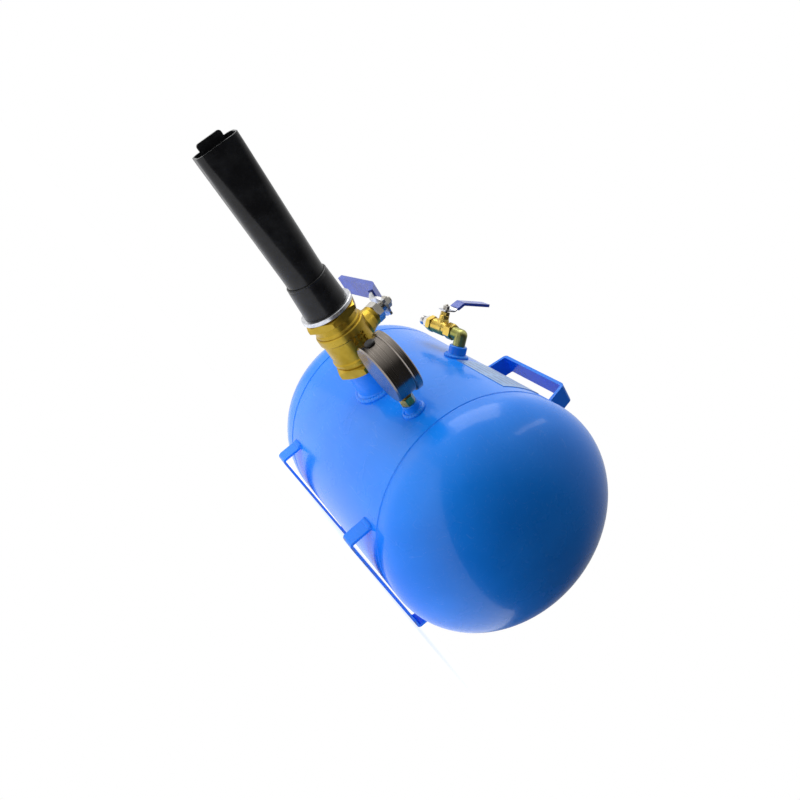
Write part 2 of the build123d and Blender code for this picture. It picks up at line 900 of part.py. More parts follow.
arbor_radius = 1.2
screw_offset = 16.0
screw_radius = 1.25
screw_places = ((0, screw_offset), (0, -screw_offset))
plate_low = -3.0
movement_plate = 1.6
movement_length = 2 * screw_offset + 8
dial_thickness = 0.8
zero_angle = math.radians(135)
needle = Plane(
    origin=dial.origin,
    x_dir=dial.x_dir * math.cos(zero_angle) + dial.y_dir * math.sin(zero_angle),
    z_dir=dial.z_dir,
)
with BuildPart() as gauge_dial:
    extrude(disc(dial, dial_height, window + 1.0), amount=dial_thickness)
    extrude(disc(dial, dial_height - 1, arbor_radius + 0.5), amount=3, mode=Mode.SUBTRACT)
    with BuildSketch(dial.offset(dial_height - 1)):
        with Locations(*screw_places):
            Circle(screw_radius)
    extrude(amount=3, mode=Mode.SUBTRACT)
write(gauge_dial.part, "gauge_dial")

with BuildPart() as gauge_movement:
    with BuildSketch(dial.offset(plate_low)):
        Rectangle(20, movement_length)
        arm_reach = gauge_rise - neck_top - block_height
        Rectangle(arm_reach, block_width - 1, align=(Align.MAX, Align.CENTER))
    extrude(amount=movement_plate)
    with BuildSketch(dial.offset(dial_height - movement_plate)):
        Rectangle(16, movement_length)
    extrude(amount=movement_plate)
    with BuildSketch(dial.offset(plate_low + movement_plate)):
        with Locations(*screw_places):
            Circle(2 * screw_radius)
    extrude(amount=dial_height - plate_low - 2 * movement_plate)
    extrude(disc(dial, plate_low - 1, arbor_radius + running_gap), amount=14, mode=Mode.SUBTRACT)
    with BuildSketch(dial.offset(0)):
        with Locations(*screw_places):
            Circle(screw_radius)
    extrude(amount=dial_height + 1, mode=Mode.SUBTRACT)
write(gauge_movement.part, "gauge_movement")

with BuildPart() as dial_screws:
    with BuildSketch(dial.offset(0)):
        with Locations(*screw_places):
            Circle(screw_radius)
    extrude(amount=dial_height + dial_thickness)
    with BuildSketch(dial.offset(dial_height + dial_thickness)):
        with Locations(*screw_places):
            Circle(1.8 * screw_radius)
    extrude(amount=1.0)
write(dial_screws.part, "dial_screws")

pointer_height = dial_height + 2.3
pointer_length = window - 4.0
pointer_tail = 9.0
with BuildPart() as gauge_needle:
    extrude(disc(needle, plate_low + 0.2, arbor_radius), amount=pointer_height + 1.0 - plate_low)
    with BuildSketch(needle.offset(pointer_height)):
        with BuildLine():
            Polyline(
                (0, 1.6),
                (pointer_length - 2, 0.5),
                (pointer_length, 0),
                (pointer_length - 2, -0.5),
                (0, -1.6),
                (-pointer_tail, -2.2),
                (-pointer_tail, 2.2),
                close=True,
            )
        make_face()
    extrude(amount=0.7)
    extrude(disc(needle, pointer_height - 0.3, 3.2), amount=1.6)
write(gauge_needle.part, "gauge_needle")

tube_bend = gauge_radius - 9.0
tube_depth = 2.6
tube_start_angle = math.asin((block_width / 2 + 0.02) / (tube_bend - tube_depth / 2))
tube_root = Plane(
    origin=dial.origin,
    x_dir=dial.x_dir * math.cos(tube_start_angle) + dial.y_dir * math.sin(tube_start_angle),
    z_dir=dial.y_dir * math.cos(tube_start_angle) - dial.x_dir * math.sin(tube_start_angle),
)
with BuildPart() as bourdon_tube:
    with BuildSketch(tube_root):
        with Locations((-tube_bend, 0.5)):
            RectangleRounded(tube_depth, 7, 0.9)
            Rectangle(tube_depth - 1.4, 5.6, mode=Mode.SUBTRACT)
    revolve(axis=axis_of(dial), revolution_arc=240)
write(bourdon_tube.part, "bourdon_tube")

# ---------------------------------------------------------------- filling branch
elbow_radius = 7.3
elbow_end = 12.0
mini_flats = 17.0
mini_stem = 22.5
mini_body_end = 35.0
mini_cap_end = 44.0
nipple_length = 15.0
mini_stem_radius = 2.5
mini_boss_radius = 5.8
mini_boss_height = 15.0
mini_hub = 20.6
mini_lever_thickness = 1.5
mini_lever_width = 12.0
mini_coating = 1.0

fill_valve = Plane(
    origin=fill.origin + fill.z_dir * fill_rise + fill.x_dir * elbow_end,
    x_dir=fill.z_dir,
    z_dir=fill.x_dir,
)
fill_stem = Plane(
    origin=fill_valve.origin + fill_valve.z_dir * mini_stem,
    x_dir=-fill.y_dir,
    z_dir=fill.z_dir,
)

with BuildPart() as fill_bung:
    extrude(disc(fill, -bung_depth, fill_bung_radius), amount=bung_depth + fill_bung_height)
    chamfer(fill_bung.edges().sort_by(axis_of(fill))[-1], length=0.8)
    extrude(disc(fill, -bung_depth, small_thread), amount=40, mode=Mode.SUBTRACT)
write(fill_bung.part, "fill_bung")

elbow_run = Plane(origin=fill.origin + fill.z_dir * fill_rise, x_dir=fill.z_dir, z_dir=fill.x_dir)
with BuildPart() as fill_elbow:
    extrude(disc(fill, fill_bung_height + 0.3, elbow_radius), amount=fill_rise - fill_bung_height - 0.3)
    extrude(disc(elbow_run, 0, elbow_radius), amount=elbow_end - 0.3)
    revolve(half_disc(elbow_run, elbow_radius), axis=axis_of(elbow_run))
    extrude(disc(fill, fill_bung_height - small_reach, small_thread), amount=small_reach + 0.3)
    extrude(disc(elbow_run, elbow_end - 0.3, small_thread), amount=small_reach - 1)
    extrude(disc(fill, 0, fill_bore), amount=fill_rise, mode=Mode.SUBTRACT)
    extrude(disc(elbow_run, 0, fill_bore), amount=40, mode=Mode.SUBTRACT)
write(fill_elbow.part, "fill_elbow")

mini_cavity = fill_ball_radius + 0.4
mini_seat_outer = 6.2
mini_seat_length = 2.2
mini_seat_back = mini_stem - 5.6
mini_cap_back = mini_stem + 5.6
mini_shank = 7.5
mini_body_radius = 8.8
mini_slot = 2.0
mini_shoulder = 3.2
mini_shoulder_top = 8.6
mini_stem_bore = mini_stem_radius + running_gap
mini_square = 3.5
mini_stud = 1.7
mini_gland_height = 4.2
mini_hex_length = 11.0
mini_joint = 1.5

write(bored_ball(fill_stem, fill_ball_radius, fill_bore, mini_slot), "fill_ball")

for seat_name, back in (
    ("fill_inner_seat", mini_seat_back),
    ("fill_outer_seat", mini_cap_back - mini_seat_length),
):
    seat = ball_seat(
        fill_valve,
        fill_stem,
        fill_ball_radius,
        fill_bore,
        mini_seat_outer,
        back,
        back + mini_seat_length,
    )
    write(seat, seat_name)

with BuildPart() as fill_body:
    extrude(hexagon(fill_valve, 0, mini_flats), amount=mini_hex_length)
    revolve(
        nut_bevel(fill_valve, 0, mini_hex_length, mini_flats),
        axis=axis_of(fill_valve),
        mode=Mode.INTERSECT,
    )
    revolve(
        lathe(
            fill_valve,
            (0, mini_hex_length - 1),
            (mini_body_radius - 0.8, mini_hex_length - 1),
            (mini_body_radius - 0.8, mini_hex_length + 4),
            (mini_body_radius, mini_hex_length + 6),
            (mini_body_radius, mini_body_end - 1),
            (mini_body_radius - 0.6, mini_body_end),
            (0, mini_body_end),
        ),
        axis=axis_of(fill_valve),
    )
    revolve(
        lathe(
            fill_stem,
            (0, 0),
            (mini_boss_radius + 1, 0),
            (mini_boss_radius + 1, mini_body_radius),
            (mini_boss_radius, mini_body_radius + 2),
            (mini_boss_radius, mini_boss_height - 0.5),
            (mini_boss_radius - 0.5, mini_boss_height),
            (0, mini_boss_height),
        ),
        axis=axis_of(fill_stem),
    )
    revolve(
        lathe(
            fill_valve,
            (0, -1),
            (small_thread, -1),
            (small_thread, small_reach - 1),
            (fill_bore, small_reach + 0.5),
            (fill_bore, mini_seat_back),
            (mini_seat_outer, mini_seat_back),
            (mini_seat_outer, mini_seat_back + mini_seat_length),
            (mini_cavity, mini_seat_back + mini_seat_length),
            (mini_cavity, mini_cap_back - mini_seat_length),
            (mini_shank, mini_cap_back - mini_seat_length),
            (mini_shank, mini_body_end + 1),
            (0, mini_body_end + 1),
        ),
        axis=axis_of(fill_valve),
        mode=Mode.SUBTRACT,
    )
    revolve(
        lathe(
            fill_stem,
            (0, fill_bore),
            (mini_shoulder + 0.2, fill_bore),
            (mini_shoulder + 0.2, mini_shoulder_top + 0.1),
            (mini_stem_bore, mini_shoulder_top + 0.1),
            (mini_stem_bore, mini_boss_height + 1),
            (0, mini_boss_height + 1),
        ),
        axis=axis_of(fill_stem),
        mode=Mode.SUBTRACT,
    )
write(fill_body.part, "fill_body")

with BuildPart() as fill_cap:
    cap_low = mini_body_end + mini_joint
    extrude(hexagon(fill_valve, cap_low, mini_flats), amount=mini_cap_end - cap_low)
    revolve(
        nut_bevel(fill_valve, cap_low, mini_cap_end, mini_flats),
        axis=axis_of(fill_valve),
        mode=Mode.INTERSECT,
    )
    revolve(
        lathe(
            fill_valve,
            (0, mini_cap_back - mini_seat_length),
            (mini_shank, mini_cap_back - mini_seat_length),
            (mini_shank, cap_low + 0.5),
            (0, cap_low + 0.5),
        ),
        axis=axis_of(fill_valve),
    )
    revolve(
        lathe(
            fill_valve,
            (0, 0),
            (mini_seat_outer, 0),
            (mini_seat_outer, mini_cap_back),
            (fill_bore, mini_cap_back),
            (fill_bore, mini_cap_end - small_reach),
            (small_thread, mini_cap_end - small_reach),
            (small_thread, mini_cap_end + 1),
            (0, mini_cap_end + 1),
        ),
        axis=axis_of(fill_valve),
        mode=Mode.SUBTRACT,
    )
write(fill_cap.part, "fill_cap")

with BuildPart() as fill_stem_pin:
    with BuildSketch(fill_stem.offset(fill_bore + mini_slot / 2)):
        Rectangle(2.2 * mini_slot, mini_slot)
    extrude(amount=fill_ball_radius - fill_bore - 0.5)
    revolve(
        lathe(
            fill_stem,
            (0, fill_ball_radius + 0.3),
            (mini_shoulder, fill_ball_radius + 0.3),
            (mini_shoulder, mini_shoulder_top),
            (mini_stem_radius, mini_shoulder_top),
            (mini_stem_radius, mini_hub),
            (0, mini_hub),
        ),
        axis=axis_of(fill_stem),
    )
    with BuildSketch(fill_stem.offset(mini_hub)):
        Rectangle(mini_square, mini_square)
    extrude(amount=mini_lever_thickness)
    revolve(
        lathe(
            fill_stem,
            (0, mini_hub + mini_lever_thickness),
            (mini_stud, mini_hub + mini_lever_thickness),
            (mini_stud, mini_hub + 7.2),
            (mini_stud - 0.5, mini_hub + 7.8),
            (0, mini_hub + 7.8),
        ),
        axis=axis_of(fill_stem),
    )
write(fill_stem_pin.part, "fill_stem")

write(
    pierced_nut(fill_stem, mini_boss_height, mini_gland_height, 10.0, mini_stem_bore),
    "fill_gland_nut",
)

mini_middle = mini_hub + mini_lever_thickness / 2
mini_lever_rise = 10.0
mini_top = mini_middle + mini_lever_rise
mini_ramp_end = 21.0
mini_path = (
    (-6.0, mini_middle),
    (9.0, mini_middle),
    (mini_ramp_end, mini_top),
    (fill_lever_length, mini_top + 1.0),
)
mini_grip_path = (
    (13.0, mini_middle + mini_lever_rise / 3),
    (mini_ramp_end, mini_top),
    (fill_lever_length + mini_coating, mini_top + 1.0),
)
fill_lever = cranked_lever(
    fill_stem,
    mini_path,
    4,
    mini_lever_width,
    mini_lever_thickness,
    mini_lever_width / 2 + 0.5,
    mini_square,
)
write(fill_lever, "fill_lever")
write(
    dipped_grip(
        fill_stem,
        mini_grip_path,
        4,
        mini_lever_width,
        mini_lever_thickness,
        mini_coating,
        fill_lever,
    ),
    "fill_grip",
)

mini_nut_low = mini_hub + mini_lever_thickness
write(pierced_nut(fill_stem, mini_nut_low, 4.5, 7.0, mini_stud), "fill_lever_nut")

nipple_bore = 3.0
nose_radius = 5.6
nipple_flats = 14.0
nipple_hex = 5.0
nipple_low = mini_cap_end + 0.3
with BuildPart() as fill_nipple:
    extrude(hexagon(fill_valve, nipple_low, nipple_flats), amount=nipple_hex)
    revolve(
        nut_bevel(fill_valve, nipple_low, nipple_low + nipple_hex, nipple_flats),
        axis=axis_of(fill_valve),
        mode=Mode.INTERSECT,
    )
    revolve(
        lathe(
            fill_valve,
            (nipple_bore, mini_cap_end - small_reach + 1),
            (small_thread, mini_cap_end - small_reach + 1),
            (small_thread, mini_cap_end + 1),
            (nose_radius - 0.6, mini_cap_end + 5),
            (nose_radius - 0.6, mini_cap_end + 6),
            (nose_radius + 0.3, mini_cap_end + 6.6),
            (nose_radius + 0.3, mini_cap_end + 7.8),
            (nose_radius - 1, mini_cap_end + 8.6),
            (nose_radius - 1, mini_cap_end + 9.8),
            (nose_radius, mini_cap_end + 10.4),
            (nose_radius, mini_cap_end + nipple_length - 1),
            (nose_radius - 1, mini_cap_end + nipple_length),
            (nipple_bore, mini_cap_end + nipple_length),
        ),
        axis=axis_of(fill_valve),
    )
    extrude(
        disc(fill_valve, mini_cap_end - small_reach, nipple_bore),
        amount=nipple_length + 2 * small_reach,
        mode=Mode.SUBTRACT,
    )
write(fill_nipple.part, "fill_nipple")
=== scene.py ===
import json
import math
import random

import bmesh
import bpy
from mathutils import Matrix, Vector


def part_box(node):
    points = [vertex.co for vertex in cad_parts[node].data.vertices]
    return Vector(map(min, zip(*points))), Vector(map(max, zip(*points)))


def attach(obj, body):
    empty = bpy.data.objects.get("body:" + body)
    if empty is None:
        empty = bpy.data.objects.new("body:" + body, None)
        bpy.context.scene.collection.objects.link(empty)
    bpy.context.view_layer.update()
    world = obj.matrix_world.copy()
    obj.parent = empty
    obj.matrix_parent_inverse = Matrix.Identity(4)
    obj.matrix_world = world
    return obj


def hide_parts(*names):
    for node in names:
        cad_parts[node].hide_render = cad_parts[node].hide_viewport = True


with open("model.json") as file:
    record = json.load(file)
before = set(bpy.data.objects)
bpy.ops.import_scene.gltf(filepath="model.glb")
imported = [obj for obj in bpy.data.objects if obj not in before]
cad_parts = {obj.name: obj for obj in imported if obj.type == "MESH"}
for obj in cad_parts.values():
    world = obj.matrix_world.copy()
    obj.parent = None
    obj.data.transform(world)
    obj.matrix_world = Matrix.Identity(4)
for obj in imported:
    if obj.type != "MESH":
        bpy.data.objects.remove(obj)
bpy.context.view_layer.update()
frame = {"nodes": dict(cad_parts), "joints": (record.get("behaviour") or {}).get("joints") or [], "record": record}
nodes = frame["nodes"]
joints = {joint["name"]: joint for joint in frame["joints"]}
MM = 0.001

# ---------------------------------------------------------------- camera
scene = bpy.context.scene
view_right = Vector((0.47092, -0.45039, 0.75854))
view_up = Vector((-0.70124, 0.33059, 0.63164))
view_back = Vector((-0.53525, -0.82937, -0.16015))
camera_data = bpy.data.cameras.new("camera")
camera_data.sensor_width = 36.0
camera_data.lens = 32.92
camera_data.shift_x = -0.0004
camera_data.shift_y = -0.004
camera_data.clip_start = 0.01
camera = bpy.data.objects.new("camera", camera_data)
turn = Matrix((view_right, view_up, view_back)).transposed().to_4x4()
camera.matrix_world = Matrix.Translation((-0.54434, -0.68871, 0.01623)) @ turn
scene.collection.objects.link(camera)
scene.camera = camera
scene.view_settings.view_transform = "Standard"


# ---------------------------------------------------------------- materials
class Nodes:
    """A new material's node tree, with the few nodes that all finishes are made from."""

    def __init__(self, name, **sockets):
        self.material = bpy.data.materials.new(name)
        self.material.use_nodes = True
        self.tree = self.material.node_tree
        self.shader = self.tree.nodes["Principled BSDF"]
        for socket, value in sockets.items():
            self.shader.inputs[socket.replace("_", " ")].default_value = value
        coordinates = self.tree.nodes.new("ShaderNodeTexCoord")
        self.place = coordinates.outputs["Object"]

    def link(self, output, target):
        self.tree.links.new(output, target)

    def stretched(self, scale):
        node = self.tree.nodes.new("ShaderNodeMapping")
        node.inputs["Scale"].default_value = scale
        self.link(self.place, node.inputs["Vector"])
        return node.outputs["Vector"]

    def noise(self, scale, detail=3.0, rough=0.5, source=None, distortion=0.0):
        node = self.tree.nodes.new("ShaderNodeTexNoise")
        node.inputs["Scale"].default_value = scale
        node.inputs["Detail"].default_value = detail
        node.inputs["Roughness"].default_value = rough
        node.inputs["Distortion"].default_value = distortion
        self.link(source or self.place, node.inputs["Vector"])
        return node.outputs["Fac"]

    def cells(self, scale):
        node = self.tree.nodes.new("ShaderNodeTexVoronoi")
        node.inputs["Scale"].default_value = scale
        self.link(self.place, node.inputs["Vector"])
        return node.outputs["Color"]

    def ramp(self, value, *stops):
        node = self.tree.nodes.new("ShaderNodeValToRGB")
        band = node.color_ramp
        while len(band.elements) < len(stops):
            band.elements.new(0.5)
        for element, (at, colour) in zip(band.elements, stops):
            element.position = at
            element.color = (*colour, 1.0) if len(colour) == 3 else colour
        self.link(value, node.inputs["Fac"])
        return node.outputs["Color"]

    def ranged(self, value, low, high, out_low, out_high):
        node = self.tree.nodes.new("ShaderNodeMapRange")
        for key, number in zip((1, 2, 3, 4), (low, high, out_low, out_high)):
            node.inputs[key].default_value = number
        self.link(value, node.inputs[0])
        return node.outputs[0]

    def math(self, operation, first, second):
        node = self.tree.nodes.new("ShaderNodeMath")
        node.operation = operation
        for socket, value in zip(node.inputs, (first, second)):
            if isinstance(value, float):
                socket.default_value = value
            else:
                self.link(value, socket)
        return node.outputs[0]

    def mixed(self, share, first, second):
        node = self.tree.nodes.new("ShaderNodeMix")
        node.data_type = "RGBA"
        self.link(share, node.inputs[0])
        for socket, value in ((node.inputs[6], first), (node.inputs[7], second)):
            if isinstance(value, tuple):
                socket.default_value = (*value, 1.0)
            else:
                self.link(value, socket)
        return node.outputs[2]

    def axis(self, letter):
        node = self.tree.nodes.new("ShaderNodeSeparateXYZ")
        self.link(self.place, node.inputs[0])
        return node.outputs[letter]

    def colour(self, output):
        self.link(output, self.shader.inputs["Base Color"])

    def roughness(self, output):
        self.link(output, self.shader.inputs["Roughness"])

    def bump(self, height, strength, distance):
        node = self.tree.nodes.new("ShaderNodeBump")
        node.inputs["Strength"].default_value = strength
        node.inputs["Distance"].default_value = distance
        self.link(height, node.inputs["Height"])
        self.link(node.outputs["Normal"], self.shader.inputs["Normal"])


def scratches(made, scale, cut):
    """Mask of thin, sparse hairline marks."""
    lines = made.noise(scale, 2.0, 0.6, made.stretched((1.0, 0.12, 1.0)), 1.4)
    return made.ramp(lines, (cut - 0.004, (0, 0, 0)), (cut, (1, 1, 1)), (cut + 0.004, (0, 0, 0)))


def painted(name, base, low, high, worn):
    """Glossy powder coat with orange peel, hairlines and, on the feet, scuffed undersides."""
    made = Nodes(
        name,
        Roughness=low,
        Coat_Weight=0.25,
        Coat_Roughness=0.06,
        Specular_IOR_Level=0.22,
    )
    tint = made.noise(9.0, 3.0)
    paler = tuple(min(1.0, value * 1.12 + 0.008) for value in base)
    deeper = tuple(value * 0.9 for value in base)
    colour = made.ramp(tint, (0.3, deeper), (0.7, paler))
    marks = made.math("MULTIPLY", scratches(made, 55.0, 0.5), 0.14)
    colour = made.mixed(marks, colour, tuple(min(1.0, value + 0.35) for value in base))
    if worn:
        low_down = made.ranged(made.axis("Z"), 0.0004, 0.0022, 1.0, 0.0)
        patch = made.ramp(made.noise(140.0, 5.0, 0.7), (0.5, (0, 0, 0)), (0.56, (1, 1, 1)))
        colour = made.mixed(made.math("MULTIPLY", low_down, patch), colour, (0.20, 0.20, 0.21))
    made.colour(colour)
    made.roughness(made.ranged(made.noise(30.0, 4.0), 0.3, 0.7, low, high))
    peel = made.noise(420.0, 2.0, 0.4)
    made.bump(peel, 0.12, 0.0004)
    return made.material


def metal(name, dark, light, low, high, grain=900.0, depth=0.12, patch=60.0):
    """Bare or plated metal, mottled, with a fine grain."""
    made = Nodes(name, Metallic=1.0)
    made.colour(made.ramp(made.noise(patch, 4.0, 0.6), (0.3, dark), (0.7, light)))
    made.roughness(made.ranged(made.noise(patch * 2.5, 4.0), 0.3, 0.7, low, high))
    made.bump(made.noise(grain, 3.0, 0.6), depth, 0.0003)
    return made.material


def brushed(name, dark, light, stretch):
    """Stainless steel brushed along one direction."""
    made = Nodes(name, Metallic=1.0)
    lines = made.noise(1.0, 4.0, 0.65, made.stretched(stretch))
    made.colour(made.ramp(lines, (0.25, dark), (0.75, light)))
    made.roughness(made.ranged(lines, 0.3, 0.7, 0.16, 0.30))
    made.bump(lines, 0.05, 0.0002)
    return made.material


def black_gloss(name):
    """Stoved black paint, dusty and finely textured."""
    made = Nodes(name, Coat_Weight=0.25, Coat_Roughness=0.16, Specular_IOR_Level=0.18)
    clean, dusty = (0.006, 0.006, 0.007), (0.022, 0.023, 0.025)
    dust = made.ramp(made.noise(45.0, 5.0, 0.7), (0.42, clean), (0.8, dusty))
    marks = made.math("MULTIPLY", scratches(made, 70.0, 0.5), 0.10)
    made.colour(made.mixed(marks, dust, (0.18, 0.18, 0.19)))
    made.roughness(made.ranged(made.noise(80.0, 4.0), 0.3, 0.7, 0.26, 0.40))
    made.bump(made.noise(700.0, 2.0), 0.14, 0.0004)
    return made.material


def vinyl(name):
    """Dipped blue vinyl, soft and slightly uneven."""
    made = Nodes(name, Coat_Weight=0.35, Coat_Roughness=0.2, Specular_IOR_Level=0.5)
    deeper, paler = (0.020, 0.052, 0.38), (0.040, 0.098, 0.55)
    made.colour(made.ramp(made.noise(70.0, 4.0), (0.3, deeper), (0.7, paler)))
    made.roughness(made.ranged(made.noise(110.0, 3.0), 0.3, 0.7, 0.24, 0.38))
    made.bump(made.noise(230.0, 2.0), 0.25, 0.0006)
    return made.material


def spangled(name, dark, light):
    """Zinc plate with crystals."""
    made = Nodes(name, Metallic=1.0)
    crystals = made.ramp(made.cells(520.0), (0.1, dark), (0.9, light))
    clouds = made.ramp(made.noise(90.0, 4.0), (0.3, dark), (0.7, light))
    made.colour(made.mixed(made.ranged(made.noise(60.0), 0.4, 0.6, 0.3, 0.7), crystals, clouds))
    made.roughness(made.ranged(made.noise(240.0, 4.0), 0.3, 0.7, 0.22, 0.38))
    made.bump(made.noise(650.0, 3.0), 0.12, 0.0003)
    return made.material


def plate_print(name):
    """Satin foil plate printed with a plain grid of grey bars and no lettering."""
    made = Nodes(name, Metallic=0.55, Roughness=0.34)
    rows_per_metre = 190.0
    row_share = 0.32

    def column(middle, half_width):
        """Mask of one column of bars along the vessel."""
        offset = made.math("ABSOLUTE", made.math("SUBTRACT", made.axis("Y"), middle), 0.0)
        return made.math("LESS_THAN", offset, half_width)

    rows = made.math("FRACT", made.math("MULTIPLY", made.axis("Z"), rows_per_metre), 0.0)
    row = made.math("LESS_THAN", rows, row_share)
    columns = made.math("ADD", column(-0.087, 0.014), column(-0.046, 0.021))
    bar = made.math("MULTIPLY", row, columns)
    foil = made.ramp(made.noise(35.0, 4.0), (0.3, (0.21, 0.36, 0.64)), (0.7, (0.30, 0.48, 0.78)))
    made.colour(made.mixed(made.math("MULTIPLY", bar, 0.55), foil, (0.10, 0.13, 0.20)))
    made.roughness(made.ranged(made.noise(160.0), 0.3, 0.7, 0.26, 0.42))
    made.bump(made.noise(80.0, 3.0), 0.25, 0.0008)
    return made.material


def plain(name, dark, light, low, high, grain, depth):
    """Non-metal with a soft tint and grain."""
    made = Nodes(name)
    made.colour(made.ramp(made.noise(60.0, 4.0), (0.3, dark), (0.7, light)))
    made.roughness(made.ranged(made.noise(120.0), 0.3, 0.7, low, high))
    made.bump(made.noise(grain, 3.0), depth, 0.0003)
    return made.material


def clear_glass(name):
    """Flat window with a trace of haze."""
    made = Nodes(name, Transmission_Weight=1.0, IOR=1.46)
    made.colour(made.ramp(made.noise(40.0), (0.3, (0.93, 0.96, 0.96)), (0.7, (0.97, 0.99, 0.99))))
    made.roughness(made.ranged(made.noise(90.0, 4.0), 0.4, 0.8, 0.0, 0.05))
    return made.material


BLUE = (0.004, 0.225, 0.93)
finish = {
    "vessel_paint": painted("vessel_paint", BLUE, 0.20, 0.30, False),
    "worn_paint": painted("worn_paint", BLUE, 0.22, 0.34, True),
    "plate_aluminium": plate_print("plate_aluminium"),
    "valve_brass": metal(
        "valve_brass", (0.35, 0.225, 0.016), (0.53, 0.365, 0.05), 0.26, 0.42, 800.0, 0.35, 45.0
    ),
    "ball_chrome": metal("ball_chrome", (0.74, 0.74, 0.76), (0.84, 0.84, 0.86), 0.05, 0.12),
    "seat_white": plain("seat_white", (0.78, 0.78, 0.76), (0.88, 0.88, 0.87), 0.35, 0.5, 300.0, 0.1),
    "stem_steel": metal("stem_steel", (0.40, 0.37, 0.31), (0.66, 0.64, 0.60), 0.2, 0.34, 700.0, 0.15),
    "lever_zinc": spangled("lever_zinc", (0.50, 0.51, 0.53), (0.80, 0.81, 0.83)),
    "grip_vinyl": vinyl("grip_vinyl"),
    "barrel_black": black_gloss("barrel_black"),
    "gauge_stainless": brushed(
        "gauge_stainless", (0.19, 0.165, 0.14), (0.34, 0.305, 0.27), (14.0, 14.0, 1500.0)
    ),
    "gauge_glass": clear_glass("gauge_glass"),
    "dial_white": plain("dial_white", (0.80, 0.80, 0.79), (0.88, 0.88, 0.87), 0.4, 0.55, 500.0, 0.05),
    "needle_black": plain(
        "needle_black", (0.012, 0.012, 0.013), (0.03, 0.03, 0.032), 0.35, 0.5, 500.0, 0.1
    ),
    "gauge_brass": metal("gauge_brass", (0.46, 0.30, 0.06), (0.70, 0.52, 0.16), 0.2, 0.34, 700.0, 0.2),
    "screw_steel": metal("screw_steel", (0.5, 0.5, 0.5), (0.68, 0.68, 0.69), 0.2, 0.3),
    "plug_rubber": plain(
        "plug_rubber", (0.010, 0.010, 0.011), (0.028, 0.028, 0.030), 0.5, 0.7, 600.0, 0.3
    ),
    "elbow_zinc": metal(
        "elbow_zinc", (0.30, 0.30, 0.08), (0.50, 0.49, 0.19), 0.26, 0.42, 600.0, 0.2, 90.0
    ),
    "small_valve_brass": metal(
        "small_valve_brass", (0.56, 0.37, 0.06), (0.78, 0.58, 0.14), 0.2, 0.34, 700.0, 0.2
    ),
    "nipple_steel": metal("nipple_steel", (0.52, 0.50, 0.48), (0.78, 0.77, 0.76), 0.16, 0.28),
}
for part in frame["record"]["subparts"]:
    node = nodes[part["node"]]
    name = part["material_slot"]
    if part["node"] in ("front_foot", "rear_foot"):
        name = "worn_paint"
    for socket in node.material_slots:
        socket.material = finish[name]


# ---------------------------------------------------------------- mesh helpers
def piece(name, mesh, slot_name, body, smooth=True):
    """Turns a bmesh into a finished piece that rides on a body."""
    data = bpy.data.meshes.new(name)
    bmesh.ops.recalc_face_normals(mesh, faces=mesh.faces)
    mesh.to_mesh(data)
    mesh.free()
    data.polygons.foreach_set("use_smooth", [smooth] * len(data.polygons))
    made = bpy.data.objects.new(name, data)
    scene.collection.objects.link(made)
    data.materials.append(finish[slot_name])
    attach(made, body)
    return made


def axes_of(outward, across):
    """Three directions of a fitting: across, round and outward."""
    outward = Vector(outward).normalized()
    across = (Vector(across) - outward * outward.dot(Vector(across))).normalized()
    return across, outward.cross(across), outward


def rings(mesh, sections, closed_run):
    """Skins a row of point rings into quads, capping the ends of an open run."""
    made = [[mesh.verts.new(point) for point in section] for section in sections]
    count = len(made[0])
    last = len(made) if closed_run else len(made) - 1
    for i in range(last):
        first, second = made[i], made[(i + 1) % len(made)]
        for j in range(count):
            k = (j + 1) % count
            mesh.faces.new((first[j], first[k], second[k], second[j]))
    if not closed_run:
        mesh.faces.new(list(reversed(made[0])))
        mesh.faces.new(made[-1])


def ripple(place, pitch, seed):
    """Height of a weld's overlapping ripples at a distance along the bead, from 0 to 1."""
    phase = place / pitch + 0.12 * math.sin(place * 0.9 + seed)
    return (phase % 1.0) ** 0.6


shell_low, shell_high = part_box("tank_shell")
shell_radius = (shell_high[0] - shell_low[0]) / 2
axis_height = (shell_low[2] + shell_high[2]) / 2
vessel_middle = Vector((0, 0, axis_height))


# shares of a weld bead's nominal size
BEAD_STAND_OFF = 0.36
BEAD_LIFT = 0.22
BEAD_RADIUS = 0.60
BEAD_RIPPLE = 0.13
BEAD_FLATNESS = 0.86


def saddle_bead(name, outward, offset, pipe, size, pitch, seed):
    """Weld bead round a pipe where it meets the vessel, rippled like a row of coins."""
    across, around, out = axes_of(outward, (0, 1, 0))
    foot = vessel_middle + out * shell_radius + Vector((0, 1, 0)) * offset
    steps = 220
    sections = []
    for i in range(steps):
        turned = 2 * math.pi * i / steps
        along = math.cos(turned)
        side = math.sin(turned)
        centre_radius = pipe + BEAD_STAND_OFF * size
        sideways = centre_radius * side
        drop = math.sqrt(shell_radius**2 - sideways**2) - shell_radius
        lift = ripple(turned * centre_radius, pitch, seed)
        radius = size * (BEAD_RADIUS + BEAD_RIPPLE * lift)
        raised = drop + BEAD_LIFT * size
        centre = foot + across * (centre_radius * along) + around * sideways + out * raised
        radial = across * along + around * side
        section = []
        for j in range(14):
            angle = 2 * math.pi * j / 14
            flat = radius * BEAD_FLATNESS * math.sin(angle)
            section.append(centre + radial * (radius * math.cos(angle)) + out * flat)
        sections.append(section)
    mesh = bmesh.new()
    rings(mesh, sections, True)
    return piece(name, mesh, "vessel_paint", "vessel")


